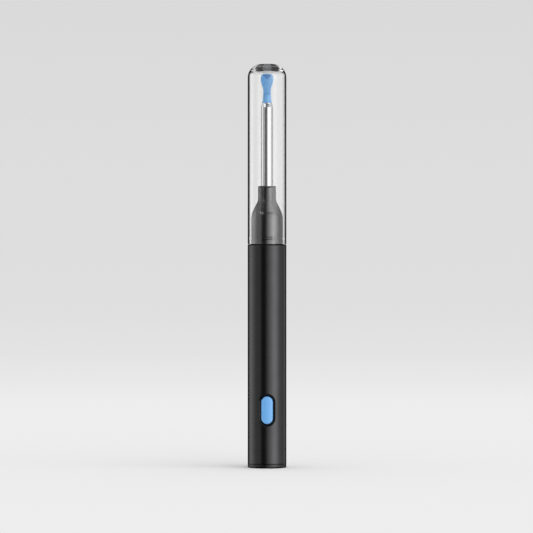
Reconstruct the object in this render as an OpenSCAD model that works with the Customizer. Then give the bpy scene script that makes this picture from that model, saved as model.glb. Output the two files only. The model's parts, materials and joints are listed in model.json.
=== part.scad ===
// Camera ear cleaner: a slim handle with one push button, a steel camera barrel that carries a
// soft scoop tip, and a clear pull-off cap. All sizes are millimetres. The origin is the centre
// of the flat base, +Z runs up the handle towards the tip, and the button faces -Y.

/* [Handle] */
// Outside diameter of the handle and of the cap
body_d = 13; // [12.9:0.05:13.4]
// Wall of the handle tube
tube_wall = 0.8; // [0.75:0.01:0.85]
// Height of the seam between the handle and the cap
seam_z = 74.9; // [74.6:0.1:75.2]
// Gap left open at each outside seam
seam_gap = 0.1; // [0.06:0.01:0.14]

/* [End cap] */
// Height of the visible rim of the end cap
rim_h = 1.25; // [1:0.05:1.6]
// Radius round the edge of the base
base_edge_r = 0.5; // [0.3:0.05:0.8]

/* [Button] */
// Width of the button
button_w = 3.8; // [3.7:0.05:3.9]
// Height of the button
button_h = 9.15; // [8.8:0.05:9.4]
// Height of the button's centre above the base
button_z = 19.45; // [19:0.05:20]
// Width of the dark surround between the button and the handle
surround_w = 0.85; // [0.75:0.01:0.86]
// How far the button goes in
button_travel = 0.25; // [0.15:0.01:0.28]

/* [Cap] */
// Height of the top of the cap above the base
overall_h = 135.5; // [134.9:0.1:138]
// Side wall of the cap
cap_wall = 0.5; // [0.45:0.01:0.55]
// Thickness of the cap's closed end
cap_end = 2.1; // [1.6:0.05:2.4]
// Outside corner radius of the closed end
cap_corner_r = 4.6; // [3.8:0.1:4.8]
// Inside corner radius of the closed end
cap_inner_corner_r = 2; // [1.6:0.1:2.4]

/* [Nose] */
// Diameter of the nose's straight part
nose_d = 10.62; // [10.5:0.01:10.64]
// Diameter of the nose's neck
nose_neck_d = 6; // [5.8:0.05:6.2]
// Height at which the nose starts to narrow
nose_bend_z = 83.2; // [82.9:0.1:83.5]
// Height at which the straight neck starts
nose_neck_z = 89.65; // [89.3:0.05:90]
// Height of the top of the nose
nose_top_z = 94.5; // [93.5:0.1:96]

/* [Camera barrel] */
// Outside diameter of the barrel
barrel_d = 4; // [3.95:0.01:4]
// Wall of the barrel
barrel_wall = 0.28; // [0.25:0.01:0.3]
// Height at which the ear tip starts
tip_seat_z = 122.45; // [122.2:0.05:122.7]
// Diameter of the barrel's end under the ear tip
neck_d = 2.2; // [2.18:0.01:2.22]

/* [Ear tip] */
// Width of the scoop
scoop_w = 4.3; // [4.2:0.05:4.5]
// Width of the stem between the sleeve and the scoop
stem_w = 2.6; // [2.56:0.01:2.7]
// Length of the ear tip
tip_h = 9.8; // [9.7:0.05:9.9]

/* [Battery] */
// Diameter of the battery cell
cell_d = 9.6; // [9:0.1:9.7]
// Length of the battery cell
cell_h = 19; // [17:0.5:19]

/* [Board] */
// Width of the main board
board_w = 8.2; // [7.8:0.05:8.2]
// Thickness of the main board
board_t = 0.8; // [0.7:0.05:0.8]

/* [Hidden] */
$fn = 96;
eps = 0.01;

// Handle
body_r = body_d / 2;
bore_r = body_r - tube_wall;
plug_r = bore_r - 0.08;
tube_z0 = rim_h + seam_gap;
tube_z1 = seam_z - seam_gap / 2;
tube_foot_chamfer = 0.12;
tube_top_chamfer = 0.3;

// End cap and charging socket
end_plug_top = 7.6;
end_floor = 2.6;
end_plug_wall = 0.77;
usb_w = 8.94;
usb_h = 3.26;
usb_wall = 0.3;
usb_z0 = 0.3;
usb_z1 = 7.5;
tongue_w = 6.7;
tongue_t = 0.7;
contact_pitch = 0.5;
contact_w = 0.25;
contact_count = 12;

// Button, its bezel and the switch behind it
window_w = button_w + 2 * surround_w;
window_h = button_h + 2 * surround_w;
bezel_r = body_r - 0.3;
button_clearance = 0.1;
flange_y0 = -5.15;
flange_t = 0.5;
flange_rim = 0.55;
bezel_back_y = -4.3;
stem_tip_y = -3.45;
switch_w = 3;
switch_l = 6;
switch_top_y = -1.85;
plunger_r = 0.75;
plunger_collar_r = 1.2;
dome_r = 1.75;
dome_rim_r = 1.25;
dome_y = 0.03;

// Board: it stands upright behind the socket, and its front face carries the switch
board_y0 = usb_h / 2 + 0.02;
board_y1 = board_y0 + board_t;
board_z0 = 3;
board_z1 = 42.4;
screw_places = [[-2.9, 11], [2.9, 26]];
screw_r = 0.5;
radio_z = 35;

// Chassis and battery
chassis_r = bore_r - 0.1;
chassis_inner_r = 4.95;
chassis_z0 = end_plug_top + 0.2;
chassis_z1 = 65.6;
bulkhead_z = 42.8;
bulkhead_t = 1;
flex_groove_w = 2.8;
flex_groove_y = 5.3;
guard_z = 44.3;
guard_t = 0.8;
cell_z = 45.4;
pad_t = 0.9;

// Nose
nose_r = nose_d / 2;
nose_neck_r = nose_neck_d / 2;
nose_z0 = 66;
nose_cavity_r = 4.6;
nose_slope = 26.5;
seal_h = 0.6;
flange_pocket_r = 2.6;
pocket_z0 = 83.7;
pocket_z1 = 85.5;
o_ring_z = 73.4;
o_ring_r = 0.34;

// Cap detent: pads on the nose, each in a pocket, snap into a groove inside the cap
detent_z0 = 76.55;
detent_z1 = 77.3;
detent_depth = 0.15;
detent_w = 2.7;
detent_r0 = 4.98;
detent_inset = 0.19;
detent_gap = 0.27;
detent_end_gap = 0.45;
detent_pocket_r = 4.92;

// Barrel and camera
barrel_r = barrel_d / 2;
barrel_z0 = 82.5;
neck_r = neck_d / 2;
neck_bore_r = 0.88;
neck_top_z = tip_seat_z + 2.75;
shoulder_r = 1.6;

// Ear tip
stem_r = stem_w / 2;
scoop_r = scoop_w / 2;
sleeve_r = 1.62;
scoop_round = [1.8, 1.6];
sleeve_h = 2.8;

// Cap
cap_r = body_r;
cap_bore_r = cap_r - cap_wall;
cap_z0 = seam_z + seam_gap / 2;
cap_ceiling_z = overall_h - cap_end;
cap_foot_chamfer = 0.2;
cap_lead_in = 0.15;
cap_groove = 0.18;
cap_groove_z0 = detent_z0 - 0.25;
cap_groove_z1 = detent_z1 + 0.3;
cap_groove_edge = 0.04;

// Camera flex: its centre line in the YZ plane, from the sensor down to the board
flex_t = 0.12;
flex_w = 2.2;
flex_tail_w = 0.9;
flex_line = [[0, 118.4], [0, 83.2], [4.2, 72], [5.1, 69.5], [5.1, 44.2], [2.95, 42.2], [2.95, 40.6]];

// ---- Shapes that repeat ----

// Points of an arc about [cx, cy], from angle a0 to a1
function arc(cx, cy, r, a0, a1, n = 8) =
    [for (i = [0:n]) let (a = a0 + (a1 - a0) * i / n) [cx + r * cos(a), cy + r * sin(a)]];

// Unit normal to the left of a direction
function left_of(v) = [-v[1], v[0]] / norm(v);

// Mitre direction at point i of a line, scaled so that both sides stay parallel to it
function mitre(p, i) =
    let (a = left_of(p[max(i, 1)] - p[max(i, 1) - 1]),
         b = left_of(p[min(i + 1, len(p) - 1)] - p[min(i, len(p) - 2)]))
    (a + b) / (1 + a * b);

// Outline of a strip of thickness t that follows the line p
function strip(p, t) = concat(
    [for (i = [0:len(p) - 1]) p[i] + mitre(p, i) * t / 2],
    [for (i = [len(p) - 1:-1:0]) p[i] - mitre(p, i) * t / 2]);

module lathe(points) {
    rotate_extrude() polygon(points);
}

// Part of a ring: a rectangle from radius r0 to r1 and from z0 to z1, turned through angle a
module ring_part(r0, r1, z0, z1, a = 360, start = 0) {
    rotate([0, 0, start])
        rotate_extrude(angle = a) translate([r0, z0]) square([r1 - r0, z1 - z0]);
}

// Flat stadium shape, w wide and h tall
module pill(w, h) {
    d = min(w, h);
    square([w > h ? w - h : w, h > w ? h - w : h], center = true);
    for (s = [-1, 1])
        translate(w > h ? [s * (w - h) / 2, 0] : [0, s * (h - w) / 2]) circle(d = d);
}

// Upright stadium at the button's height that runs from y0 back to y1
module button_prism(w, h, y0, y1) {
    translate([0, y1, button_z])
        rotate([90, 0, 0]) linear_extrude(y1 - y0) pill(w, h);
}

// Box given by its lowest and highest corners
module block(lo, hi) {
    translate(lo) cube(hi - lo);
}

// Cylinder along Y from y0 to y1 at [x, z]
module pin_y(x, z, r, y0, y1) {
    translate([x, y0, z]) rotate([-90, 0, 0]) cylinder(r = r, h = y1 - y0);
}

// Chip or other component on the board's front (side -1) or back (side 1) face
module component(x, z, w, l, t, side = -1) {
    y = side < 0 ? board_y0 - t - eps : board_y1 + eps;
    translate([x - w / 2, y, z - l / 2]) cube([w, t, l]);
}

// ---- Handle ----

module body_tube() {
    color("#1b1b1d") difference() {
        lathe([
            [bore_r, tube_z0], [body_r - tube_foot_chamfer, tube_z0],
            [body_r, tube_z0 + tube_foot_chamfer], [body_r, tube_z1 - tube_top_chamfer],
            [body_r - tube_top_chamfer, tube_z1], [bore_r, tube_z1]]);
        button_prism(window_w, window_h, -body_r - 1, -bore_r + 2);
    }
}

module end_cap() {
    r = base_edge_r;
    color("#151516") difference() {
        lathe(concat(
            [[0, 0]],
            arc(body_r - r, r, r, -90, 0),
            [[body_r, rim_h], [plug_r, rim_h], [plug_r, end_plug_top], [0, end_plug_top]]));
        translate([0, 0, end_floor])
            cylinder(r = plug_r - end_plug_wall, h = end_plug_top);
        translate([0, 0, -1])
            linear_extrude(end_plug_top) pill(usb_w + 0.12, usb_h + 0.12);
    }
}

module usb_shell() {
    color("#c9cbcc") translate([0, 0, usb_z0])
        linear_extrude(usb_z1 - usb_z0) difference() {
            pill(usb_w, usb_h);
            pill(usb_w - 2 * usb_wall, usb_h - 2 * usb_wall);
        }
}

module usb_tongue() {
    color("#101010") {
        block([-tongue_w / 2, -tongue_t / 2, usb_z0 + 0.7], [tongue_w / 2, tongue_t / 2, usb_z1 - 1]);
        translate([0, 0, usb_z1 - 2])
            linear_extrude(1.9) pill(usb_w - 2 * usb_wall - 0.04, usb_h - 2 * usb_wall - 0.04);
    }
}

module usb_contacts() {
    thick = 0.06;
    y = tongue_t / 2 + thick / 2 + 0.002;
    color("#d8b25a")
        for (i = [0:contact_count - 1], side = [-1, 1])
            translate([(i - (contact_count - 1) / 2) * contact_pitch, side * y, 3])
                cube([contact_w, thick, 3.2], center = true);
}

// ---- Button and switch ----

module button() {
    color("#6fb0e6") {
        intersection() {
            button_prism(button_w, button_h, -body_r - 1, flange_y0 + eps);
            cylinder(r = body_r, h = seam_z);
        }
        button_prism(button_w + 2 * flange_rim, button_h + 2 * flange_rim, flange_y0, flange_y0 + flange_t);
        pin_y(0, button_z, 0.9, flange_y0 + flange_t - eps, stem_tip_y);
    }
}

module button_bezel() {
    open_w = button_w + 2 * button_clearance;
    open_h = button_h + 2 * button_clearance;
    color("#0d0d0e") difference() {
        union() {
            intersection() {
                button_prism(window_w - 0.08, window_h - 0.08, -body_r, bezel_back_y);
                cylinder(r = bezel_r, h = seam_z);
            }
            intersection() {
                button_prism(window_w + 1.6, window_h + 1.6, -body_r, bezel_back_y);
                cylinder(r = bore_r - 0.05, h = seam_z);
            }
        }
        button_prism(open_w, open_h, -body_r - 1, bezel_back_y + 1);
        button_prism(open_w + 2 * flange_rim, open_h + 2 * flange_rim, flange_y0 - 0.05, bezel_back_y + 1);
    }
}

module tact_switch() {
    color("#202124") difference() {
        block([-switch_w / 2, switch_top_y, button_z - switch_l / 2],
              [switch_w / 2, board_y0 - eps, button_z + switch_l / 2]);
        pin_y(0, button_z, plunger_r + 0.06, switch_top_y - 1, 0);
        pin_y(0, button_z, plunger_collar_r + 0.1, switch_top_y + 0.5, 0.6);
    }
}

module switch_dome() {
    thick = 0.1;
    half = asin(dome_rim_r / dome_r);
    color("#b9bcc0") translate([0, dome_y + dome_r, button_z]) rotate([90, 0, 0])
        lathe(concat(arc(0, 0, dome_r, 90 - half, 90), arc(0, 0, dome_r - thick, 90, 90 - half)));
}

module switch_plunger() {
    collar_y = switch_top_y + 0.55;
    color("#e8e6e0") {
        pin_y(0, button_z, plunger_r, stem_tip_y + 0.05, collar_y + 0.5);
        pin_y(0, button_z, plunger_collar_r, collar_y, collar_y + 0.5);
        pin_y(0, button_z, 0.4, collar_y + 0.4, dome_y - button_travel - 0.03);
    }
}

// ---- Board ----

module main_board() {
    color("#12402a") difference() {
        block([-board_w / 2, board_y0, board_z0], [board_w / 2, board_y1, board_z1]);
        for (p = screw_places)
            pin_y(p[0], p[1], screw_r + 0.1, board_y0 - 1, board_y1 + 1);
    }
}

module board_screws() {
    head_t = 0.6;
    color("#9fa2a6")
        for (p = screw_places) difference() {
            union() {
                pin_y(p[0], p[1], 1.1, board_y0 - head_t - eps, board_y0 - eps);
                pin_y(p[0], p[1], screw_r, board_y0 - 0.1, board_y1 + 1.9);
            }
            for (a = [0, 90])
                translate([p[0], board_y0 - head_t, p[1]]) rotate([0, a, 0])
                    cube([1.3, 0.5, 0.28], center = true);
        }
}

module radio_shield() {
    color("#b4b7ba") difference() {
        component(0, radio_z, 7, 10.4, 1.5);
        component(0, radio_z, 6.6, 10, 1.3);
    }
}

module radio_chip() {
    color("#1a1a1c") component(0, radio_z, 5, 6, 0.9);
}

module processor_chip() {
    color("#1a1a1c") component(0, 18, 5, 5, 0.9, 1);
}

module memory_chip() {
    color("#1a1a1c") component(0, 31.5, 4, 4, 0.7, 1);
}

module charge_chip() {
    color("#1a1a1c") component(2.2, 12.4, 3, 3, 0.7);
}

module motion_sensor() {
    color("#2a2a2e") component(-2.2, 26.6, 2.5, 3, 0.8);
}

module crystal() {
    color("#c2c4c6") component(-1.2, 24.6, 2.5, 1.6, 0.6, 1);
}

module inductor() {
    color("#3a3632") component(-2.7, 14.9, 2, 2, 1);
}

module capacitors() {
    color("#a8865c") {
        for (i = [0:3], x = [-3, 3])
            component(x, 17.6 + 1.5 * i, 0.6, 1, 0.5);
        for (x = [-3.2, 3.2])
            component(x, 36.4, 0.6, 1, 0.5, 1);
    }
}

module flex_connector() {
    color("#d9d2c0") difference() {
        component(0, 39, 4.4, 3, 1.1, 1);
        block([-flex_w / 2 - 0.1, 2.95 - 0.12, 39.4], [flex_w / 2 + 0.1, 2.95 + 0.12, 41]);
    }
}

module camera_flex() {
    color("#b8741a") {
        rotate([90, 0, 90])
            linear_extrude(flex_w, center = true) polygon(strip(flex_line, flex_t));
        block([-flex_tail_w / 2, -flex_t / 2, 118.3], [flex_tail_w / 2, flex_t / 2, 121.85]);
    }
}

// ---- Chassis and battery ----

module chassis() {
    ledge_x = 3.5;
    color("#d7d7d2") difference() {
        union() {
            intersection() {
                ring_part(chassis_inner_r, chassis_r, chassis_z0, chassis_z1);
                block([-body_r, 0, 0], [body_r, body_r, seam_z]);
            }
            intersection() {
                translate([0, 0, bulkhead_z])
                    cylinder(r = chassis_inner_r + 0.2, h = bulkhead_t);
                block([-body_r, 0, 0], [body_r, body_r, seam_z]);
            }
            intersection() {
                for (s = [-1, 1])
                    translate([s * (ledge_x + 1), board_y1 + 0.4, (chassis_z0 + bulkhead_z) / 2])
                        cube([2, 0.78, bulkhead_z - chassis_z0], center = true);
                cylinder(r = chassis_inner_r + 0.2, h = seam_z);
            }
            intersection() {
                for (p = screw_places)
                    pin_y(p[0], p[1], 1.2, board_y1 + eps, body_r);
                cylinder(r = chassis_inner_r + 0.2, h = seam_z);
            }
        }
        block([-flex_groove_w / 2, 2.4, bulkhead_z - 1], [flex_groove_w / 2, flex_groove_y, chassis_z1 + 1]);
        for (p = screw_places)
            pin_y(p[0], p[1], screw_r + 0.02, 0, board_y1 + 2.1);
    }
}

module battery_cell() {
    r = cell_d / 2;
    edge = 0.4;
    nub = 1.6;
    top = cell_z + cell_h;
    color("#2b5d9a") lathe(concat(
        [[0, cell_z]],
        arc(r - edge, cell_z + edge, edge, -90, 0, 4),
        arc(r - edge, top - 0.3 - edge, edge, 0, 90, 4),
        [[nub, top - 0.3], [nub, top], [0, top]]));
}

module battery_guard() {
    color("#174f34") intersection() {
        translate([0, 0, guard_z]) cylinder(r = 4.6, h = guard_t);
        block([-5, -4.2, 0], [5, 5, seam_z]);
    }
}

module battery_leads() {
    wire_r = 0.3;
    bend = 1;
    y0 = -1.4;
    z0 = 41.6;
    for (s = [-1, 1])
        color(s < 0 ? "#b3201c" : "#1a1a1a") translate([s * 1.5, 0, 0]) {
            translate([0, y0, z0 + bend]) cylinder(r = wire_r, h = guard_z - eps - z0 - bend);
            translate([0, y0 + bend, z0 + bend]) rotate([90, 0, 90]) rotate([0, 0, 180])
                rotate_extrude(angle = 90) translate([bend, 0]) circle(r = wire_r);
            pin_y(0, z0, wire_r, y0 + bend, board_y0 - eps);
        }
}

module battery_pad() {
    color("#55565a") difference() {
        translate([0, 0, cell_z + cell_h + 0.1]) cylinder(r = 4.5, h = pad_t);
        translate([0, 0, cell_z + cell_h]) cylinder(r = 1.8, h = pad_t + 1);
    }
}

// ---- Nose ----

// Outside of the nose above the seam: an arc that turns inwards, then a straight shoulder
module nose() {
    bend_r = (nose_r - nose_neck_r - (nose_neck_z - nose_bend_z) * tan(nose_slope))
        / (1 - cos(nose_slope) - sin(nose_slope) * tan(nose_slope));
    top = nose_top_z - seal_h;
    color("#4c4d50") difference() {
        lathe(concat(
            [[0, nose_z0], [plug_r - 0.2, nose_z0], [plug_r, nose_z0 + 0.2], [plug_r, seam_z],
             [nose_r, seam_z + 0.3], [nose_r, detent_z0], [nose_r - detent_depth, detent_z0 + 0.05],
             [nose_r - detent_depth, detent_z1 - 0.05], [nose_r, detent_z1]],
            arc(nose_r - bend_r, nose_bend_z, bend_r, 0, nose_slope),
            [[nose_neck_r, nose_neck_z], [nose_neck_r, top], [0, top]]));
        // cavity for the flex and the antenna
        lathe([[0, nose_z0 - 1], [nose_cavity_r, nose_z0 - 1], [nose_cavity_r, 79.5],
            [flange_pocket_r, pocket_z0], [flange_pocket_r, pocket_z1], [0, pocket_z1]]);
        cylinder(r = barrel_r + 0.03, h = overall_h);
        // way for the flex past the end of the chassis
        block([-flex_groove_w / 2, 4, nose_z0 - 1], [flex_groove_w / 2, flex_groove_y, 72.3]);
        ring_part(plug_r - 0.62, plug_r + 1, o_ring_z - 0.42, o_ring_z + 0.42);
        for (a = [-90, 90])
            detent(a, detent_end_gap, detent_gap, detent_pocket_r, nose_r + 1);
    }
}

// Pad that the cap snaps over, facing angle a, from radius r0 to r1. It is grown by end_g at its
// ends and by g above and below
module detent(a, end_g, g, r0, r1) {
    half = (detent_w / 2 + end_g) / nose_r * 180 / PI;
    ring_part(r0, r1, detent_z0 + detent_inset - g, detent_z1 - detent_inset + g, 2 * half, a - half);
}

module cap_detents() {
    color("#4c4d50")
        for (a = [-90, 90])
            detent(a, 0, 0, detent_r0, cap_bore_r - 0.06);
}

module nose_o_ring() {
    color("#141414")
        rotate_extrude() translate([bore_r - o_ring_r - 0.01, o_ring_z]) circle(r = o_ring_r);
}

module antenna() {
    color("#c08a3e")
        ring_part(nose_cavity_r - 0.12, nose_cavity_r - 0.02, 67, 78, 70, -125);
}

module barrel_seal() {
    edge = 0.12;
    r0 = barrel_r + 0.03;
    z0 = nose_top_z - seal_h + eps;
    color("#2a2a2c")
        lathe([[r0, z0], [nose_neck_r, z0], [nose_neck_r, nose_top_z - edge],
            [nose_neck_r - edge, nose_top_z], [r0, nose_top_z]]);
}

module barrel_retainer() {
    color("#b9a05a") ring_part(barrel_r + 0.03, flange_pocket_r - 0.03, pocket_z0 + 0.1, pocket_z0 + 0.85);
}

// ---- Camera barrel ----

module camera_barrel() {
    bore = barrel_r - barrel_wall;
    flange_r = flange_pocket_r - 0.05;
    color("#d4d6d8") lathe([
        [bore, barrel_z0], [barrel_r, barrel_z0], [barrel_r, 84.65], [flange_r, 84.65],
        [flange_r, 85.4], [barrel_r, 85.4], [barrel_r, tip_seat_z - 1.53],
        [shoulder_r, tip_seat_z - 0.14], [shoulder_r, tip_seat_z - 0.02],
        [neck_r, tip_seat_z - 0.02], [neck_r, neck_top_z],
        [neck_bore_r, neck_top_z], [neck_bore_r, tip_seat_z - 0.65], [bore, tip_seat_z - 1.85]]);
}

module led_board() {
    color("#e9e9e4") ring_part(0.52, 1.6, 119, 119.25);
}

module leds() {
    color("#f6e9b0")
        for (a = [0:60:300])
            rotate([0, 0, a]) translate([0.75, -0.2, 119.26]) cube([0.5, 0.4, 0.3]);
}

module light_guide() {
    color("#dfe9ee") lathe([[0.73, 120.2], [0.73, 119.7], [1.35, 119.7], [1.35, 120],
        [0.86, 120.7], [0.86, neck_top_z - 0.45], [0.73, neck_top_z - 0.45]]);
}

module camera_sensor() {
    color("#1c1d22") translate([0, 0, 122.5]) cube([1, 1, 1.2], center = true);
}

module camera_lens() {
    z0 = 123.12;
    color("#26262b") lathe([[0, z0], [0.5, z0], [0.5, neck_top_z - 0.5], [0.32, neck_top_z - 0.5],
        [0.2, neck_top_z - 0.62], [0, neck_top_z - 0.66]]);
}

module lens_window() {
    color("#394a55") translate([0, 0, neck_top_z - 0.4]) cylinder(r = neck_bore_r - 0.01, h = 0.34);
}

// ---- Ear tip ----

// Outline of the ear tip from the front, right half only: [half-width, height above the seat]
tip_front = concat(
    [[0, 0], [sleeve_r, 0], [sleeve_r, 0.25], [1.56, 0.5], [1.43, 0.85], [1.37, 1.8],
     [stem_r, 3.2], [stem_r, 4.5], [1.4, 5.1], [1.62, 5.7], [1.84, 6.4], [2.02, 7.06]],
    [[scoop_r - 0.05, 7.6]],
    [for (p = arc(0, 0, 1, 0, 90, 8))
        [scoop_r - scoop_round[0] * (1 - p[0]), tip_h - scoop_round[1] * (1 - p[1])]],
    [[0, tip_h]]);

// Outline from the side: [y, height above the seat]. A round sleeve, a half-round stem behind
// the camera's view, and a scoop whose lip comes forward over it
tip_side = [[-1.8, -1], [1.8, -1], [1.8, 3], [1.3, 5], [1.35, 7.4], [1.2, 8.6], [0.75, 9.35],
    [0.1, 9.7], [-0.6, 9.81], [-1.15, 9.66], [-1.3, 9.3], [-1.05, 8.4], [-0.55, 7.1], [0, 5.6],
    [0.25, 4.5], [0.25, sleeve_h], [-1.8, sleeve_h]];

// Hollow of the scoop: a shallow bowl whose lower edge is a wide V
module tip_bowl() {
    bowl_r = 1.7;
    bowl_y = -1.75;
    z = tip_h - 0.9;
    w = 1.45;
    top_w = 1.15;
    intersection() {
        translate([0, bowl_y, z]) sphere(r = bowl_r);
        rotate([90, 0, 0]) linear_extrude(4)
            polygon([[0, z - 0.95], [w, z + 0.1], [top_w, z + 0.52], [-top_w, z + 0.52], [-w, z + 0.1]]);
    }
}

module ear_tip() {
    bore_top = neck_top_z - tip_seat_z + 0.05;
    color("#6f9fcd") translate([0, 0, tip_seat_z]) difference() {
        intersection() {
            lathe(tip_front);
            rotate([90, 0, 90]) linear_extrude(6, center = true) polygon(tip_side);
        }
        translate([0, 0, -1]) cylinder(r = neck_r + 0.02, h = bore_top + 1);
        tip_bowl();
    }
}

// ---- Cap ----

module cap() {
    color([0.9, 0.95, 0.97, 0.35]) lathe(concat(
        [[cap_bore_r + cap_lead_in, cap_z0], [cap_r - cap_foot_chamfer, cap_z0],
         [cap_r, cap_z0 + cap_foot_chamfer]],
        arc(cap_r - cap_corner_r, overall_h - cap_corner_r, cap_corner_r, 0, 90, 12),
        [[0, overall_h], [0, cap_ceiling_z]],
        arc(cap_bore_r - cap_inner_corner_r, cap_ceiling_z - cap_inner_corner_r,
            cap_inner_corner_r, 90, 0, 10),
        [[cap_bore_r, cap_groove_z1], [cap_bore_r + cap_groove, cap_groove_z1 - cap_groove_edge],
         [cap_bore_r + cap_groove, cap_groove_z0 + cap_groove_edge], [cap_bore_r, cap_groove_z0],
         [cap_bore_r, cap_z0 + cap_lead_in]]));
}

body_tube();
end_cap();
usb_shell();
usb_tongue();
usb_contacts();
button();
button_bezel();
tact_switch();
switch_dome();
switch_plunger();
main_board();
board_screws();
chassis();
battery_cell();
battery_guard();
battery_leads();
battery_pad();
radio_shield();
radio_chip();
processor_chip();
memory_chip();
charge_chip();
motion_sensor();
crystal();
inductor();
capacitors();
flex_connector();
camera_flex();
antenna();
nose();
nose_o_ring();
cap_detents();
barrel_seal();
barrel_retainer();
camera_barrel();
led_board();
leds();
light_guide();
camera_sensor();
camera_lens();
lens_window();
ear_tip();
cap();
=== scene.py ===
import json
import math

import bmesh
import bpy
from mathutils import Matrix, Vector


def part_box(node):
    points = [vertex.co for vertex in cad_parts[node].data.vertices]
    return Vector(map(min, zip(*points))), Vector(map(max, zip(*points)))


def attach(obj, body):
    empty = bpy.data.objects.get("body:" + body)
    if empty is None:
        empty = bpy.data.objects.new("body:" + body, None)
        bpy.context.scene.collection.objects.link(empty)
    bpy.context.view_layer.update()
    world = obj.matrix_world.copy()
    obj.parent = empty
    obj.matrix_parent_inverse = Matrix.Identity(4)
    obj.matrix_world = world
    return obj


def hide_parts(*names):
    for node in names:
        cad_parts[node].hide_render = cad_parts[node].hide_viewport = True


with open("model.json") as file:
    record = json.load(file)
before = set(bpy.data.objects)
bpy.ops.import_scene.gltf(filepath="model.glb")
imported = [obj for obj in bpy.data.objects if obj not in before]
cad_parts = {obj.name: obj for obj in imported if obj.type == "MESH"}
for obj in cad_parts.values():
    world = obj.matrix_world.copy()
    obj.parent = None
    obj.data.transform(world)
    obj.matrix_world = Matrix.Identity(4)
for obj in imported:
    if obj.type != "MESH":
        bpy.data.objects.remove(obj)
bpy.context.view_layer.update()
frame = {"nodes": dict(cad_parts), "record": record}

MM = 0.001
TINY = 1e-5               # half-width of an outline that closes up, in millimetres
TAU = 2 * math.pi
scene = bpy.context.scene


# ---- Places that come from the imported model, in millimetres ----

def extent(node):
    lo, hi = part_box(node)
    return lo / MM, hi / MM


cap_lo, cap_hi = extent("cap")
tube_lo, tube_hi = extent("body_tube")
end_hi = extent("end_cap")[1]
nose_lo, nose_hi = extent("nose")
button_lo, button_hi = extent("button")
barrel_hi = extent("camera_barrel")[1]
seal_lo, seal_hi = extent("barrel_seal")

SEAM_Z = tube_hi.z                      # where the handle ends and the cap begins
BODY_R = tube_hi.x
BORE_R = BODY_R - 0.8                   # inside of the handle's tube
PLUG_R = BORE_R - 0.08                  # of the end cap and the nose, inside the tube
NOSE_R = 5.31
NECK_R = 3.0                            # of the nose's neck and the ring on top of it
NECK_BORE_R = 2.03                      # the hole in both that the barrel goes through
BARREL_R = 2.0
CAP_WALL = 0.5
RIM_H = 1.25                            # height of the end cap's rim
FOOT_R = 0.5                            # rounding of its foot
SEAM_H = 0.26                           # height of the shadow gap between the handle and the cap, painted with shade
MOUTH_RISE = 0.06                       # how far the cap's mouth stays above the seam
DETENT_Z = (76.55, 77.3)                # the ring recess round the nose that the two cap pads stand in
CAP_GROOVE_Z = (76.3, 77.6)             # the groove in the cap that snaps over the pads
PAD_HALF = 1.35                         # half the width of a cap pad
PAD_Z = (DETENT_Z[0] + 0.21, DETENT_Z[1] - 0.21)
PAD_R = (4.98, 5.94)                    # radii of a pad's back and front
PAD_GAP, PAD_END_GAP = 0.36, 0.45       # of the pocket round it, above and below, and at its ends
POCKET_Z = (PAD_Z[0] - PAD_GAP, PAD_Z[1] + PAD_GAP)
POCKET_R = 4.92                         # radius of the pocket's floor
BUTTON_Z = (button_lo.z + button_hi.z) / 2
BUTTON_HW, BUTTON_HH = 3.8 / 2, 9.15 / 2
SURROUND = 0.85                         # width of the window's edge round the button


# ---- Mesh helpers ----

def make(name, verts, faces, sharp=38):
    """A closed, welded mesh object from millimetre points, smooth apart from edges sharper than that."""
    mesh = bpy.data.meshes.new(name)
    mesh.from_pydata([Vector(v) * MM for v in verts], [], faces)
    bm = bmesh.new()
    bm.from_mesh(mesh)
    bmesh.ops.remove_doubles(bm, verts=bm.verts, dist=2e-7)
    bmesh.ops.dissolve_degenerate(bm, dist=1e-8, edges=bm.edges)
    bmesh.ops.recalc_face_normals(bm, faces=bm.faces)
    bm.to_mesh(mesh)
    bm.free()
    return finish_mesh(name, mesh, sharp)


def smooth_shade(mesh, sharp):
    for p in mesh.polygons:
        p.use_smooth = True
    if sharp is not None:
        mesh.set_sharp_from_angle(angle=math.radians(sharp))


def finish_mesh(name, mesh, sharp):
    smooth_shade(mesh, sharp)
    obj = bpy.data.objects.new(name, mesh)
    scene.collection.objects.link(obj)
    return obj


def rings(name, loops, closed=True, sharp=38):
    """A skin over loops of equally many points. A closed one joins its last loop to its first."""
    n = len(loops[0])
    verts = [p for loop in loops for p in loop]
    faces = []
    for i in range(len(loops) if closed else len(loops) - 1):
        j = (i + 1) % len(loops)
        for k in range(n):
            m = (k + 1) % n
            faces.append((i * n + k, i * n + m, j * n + m, j * n + k))
    return make(name, verts, faces, sharp)


def circle(r, z, n):
    return [(r * math.cos(TAU * k / n), r * math.sin(TAU * k / n), z) for k in range(n)]


def lathe(name, profile, n=160, closed=True, sharp=38):
    return rings(name, [circle(r, z, n) for r, z in profile], closed, sharp)


def arc(cx, cy, r, a0, a1, n):
    return [(cx + r * math.cos(math.radians(a0 + (a1 - a0) * i / n)),
             cy + r * math.sin(math.radians(a0 + (a1 - a0) * i / n))) for i in range(n + 1)]


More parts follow.
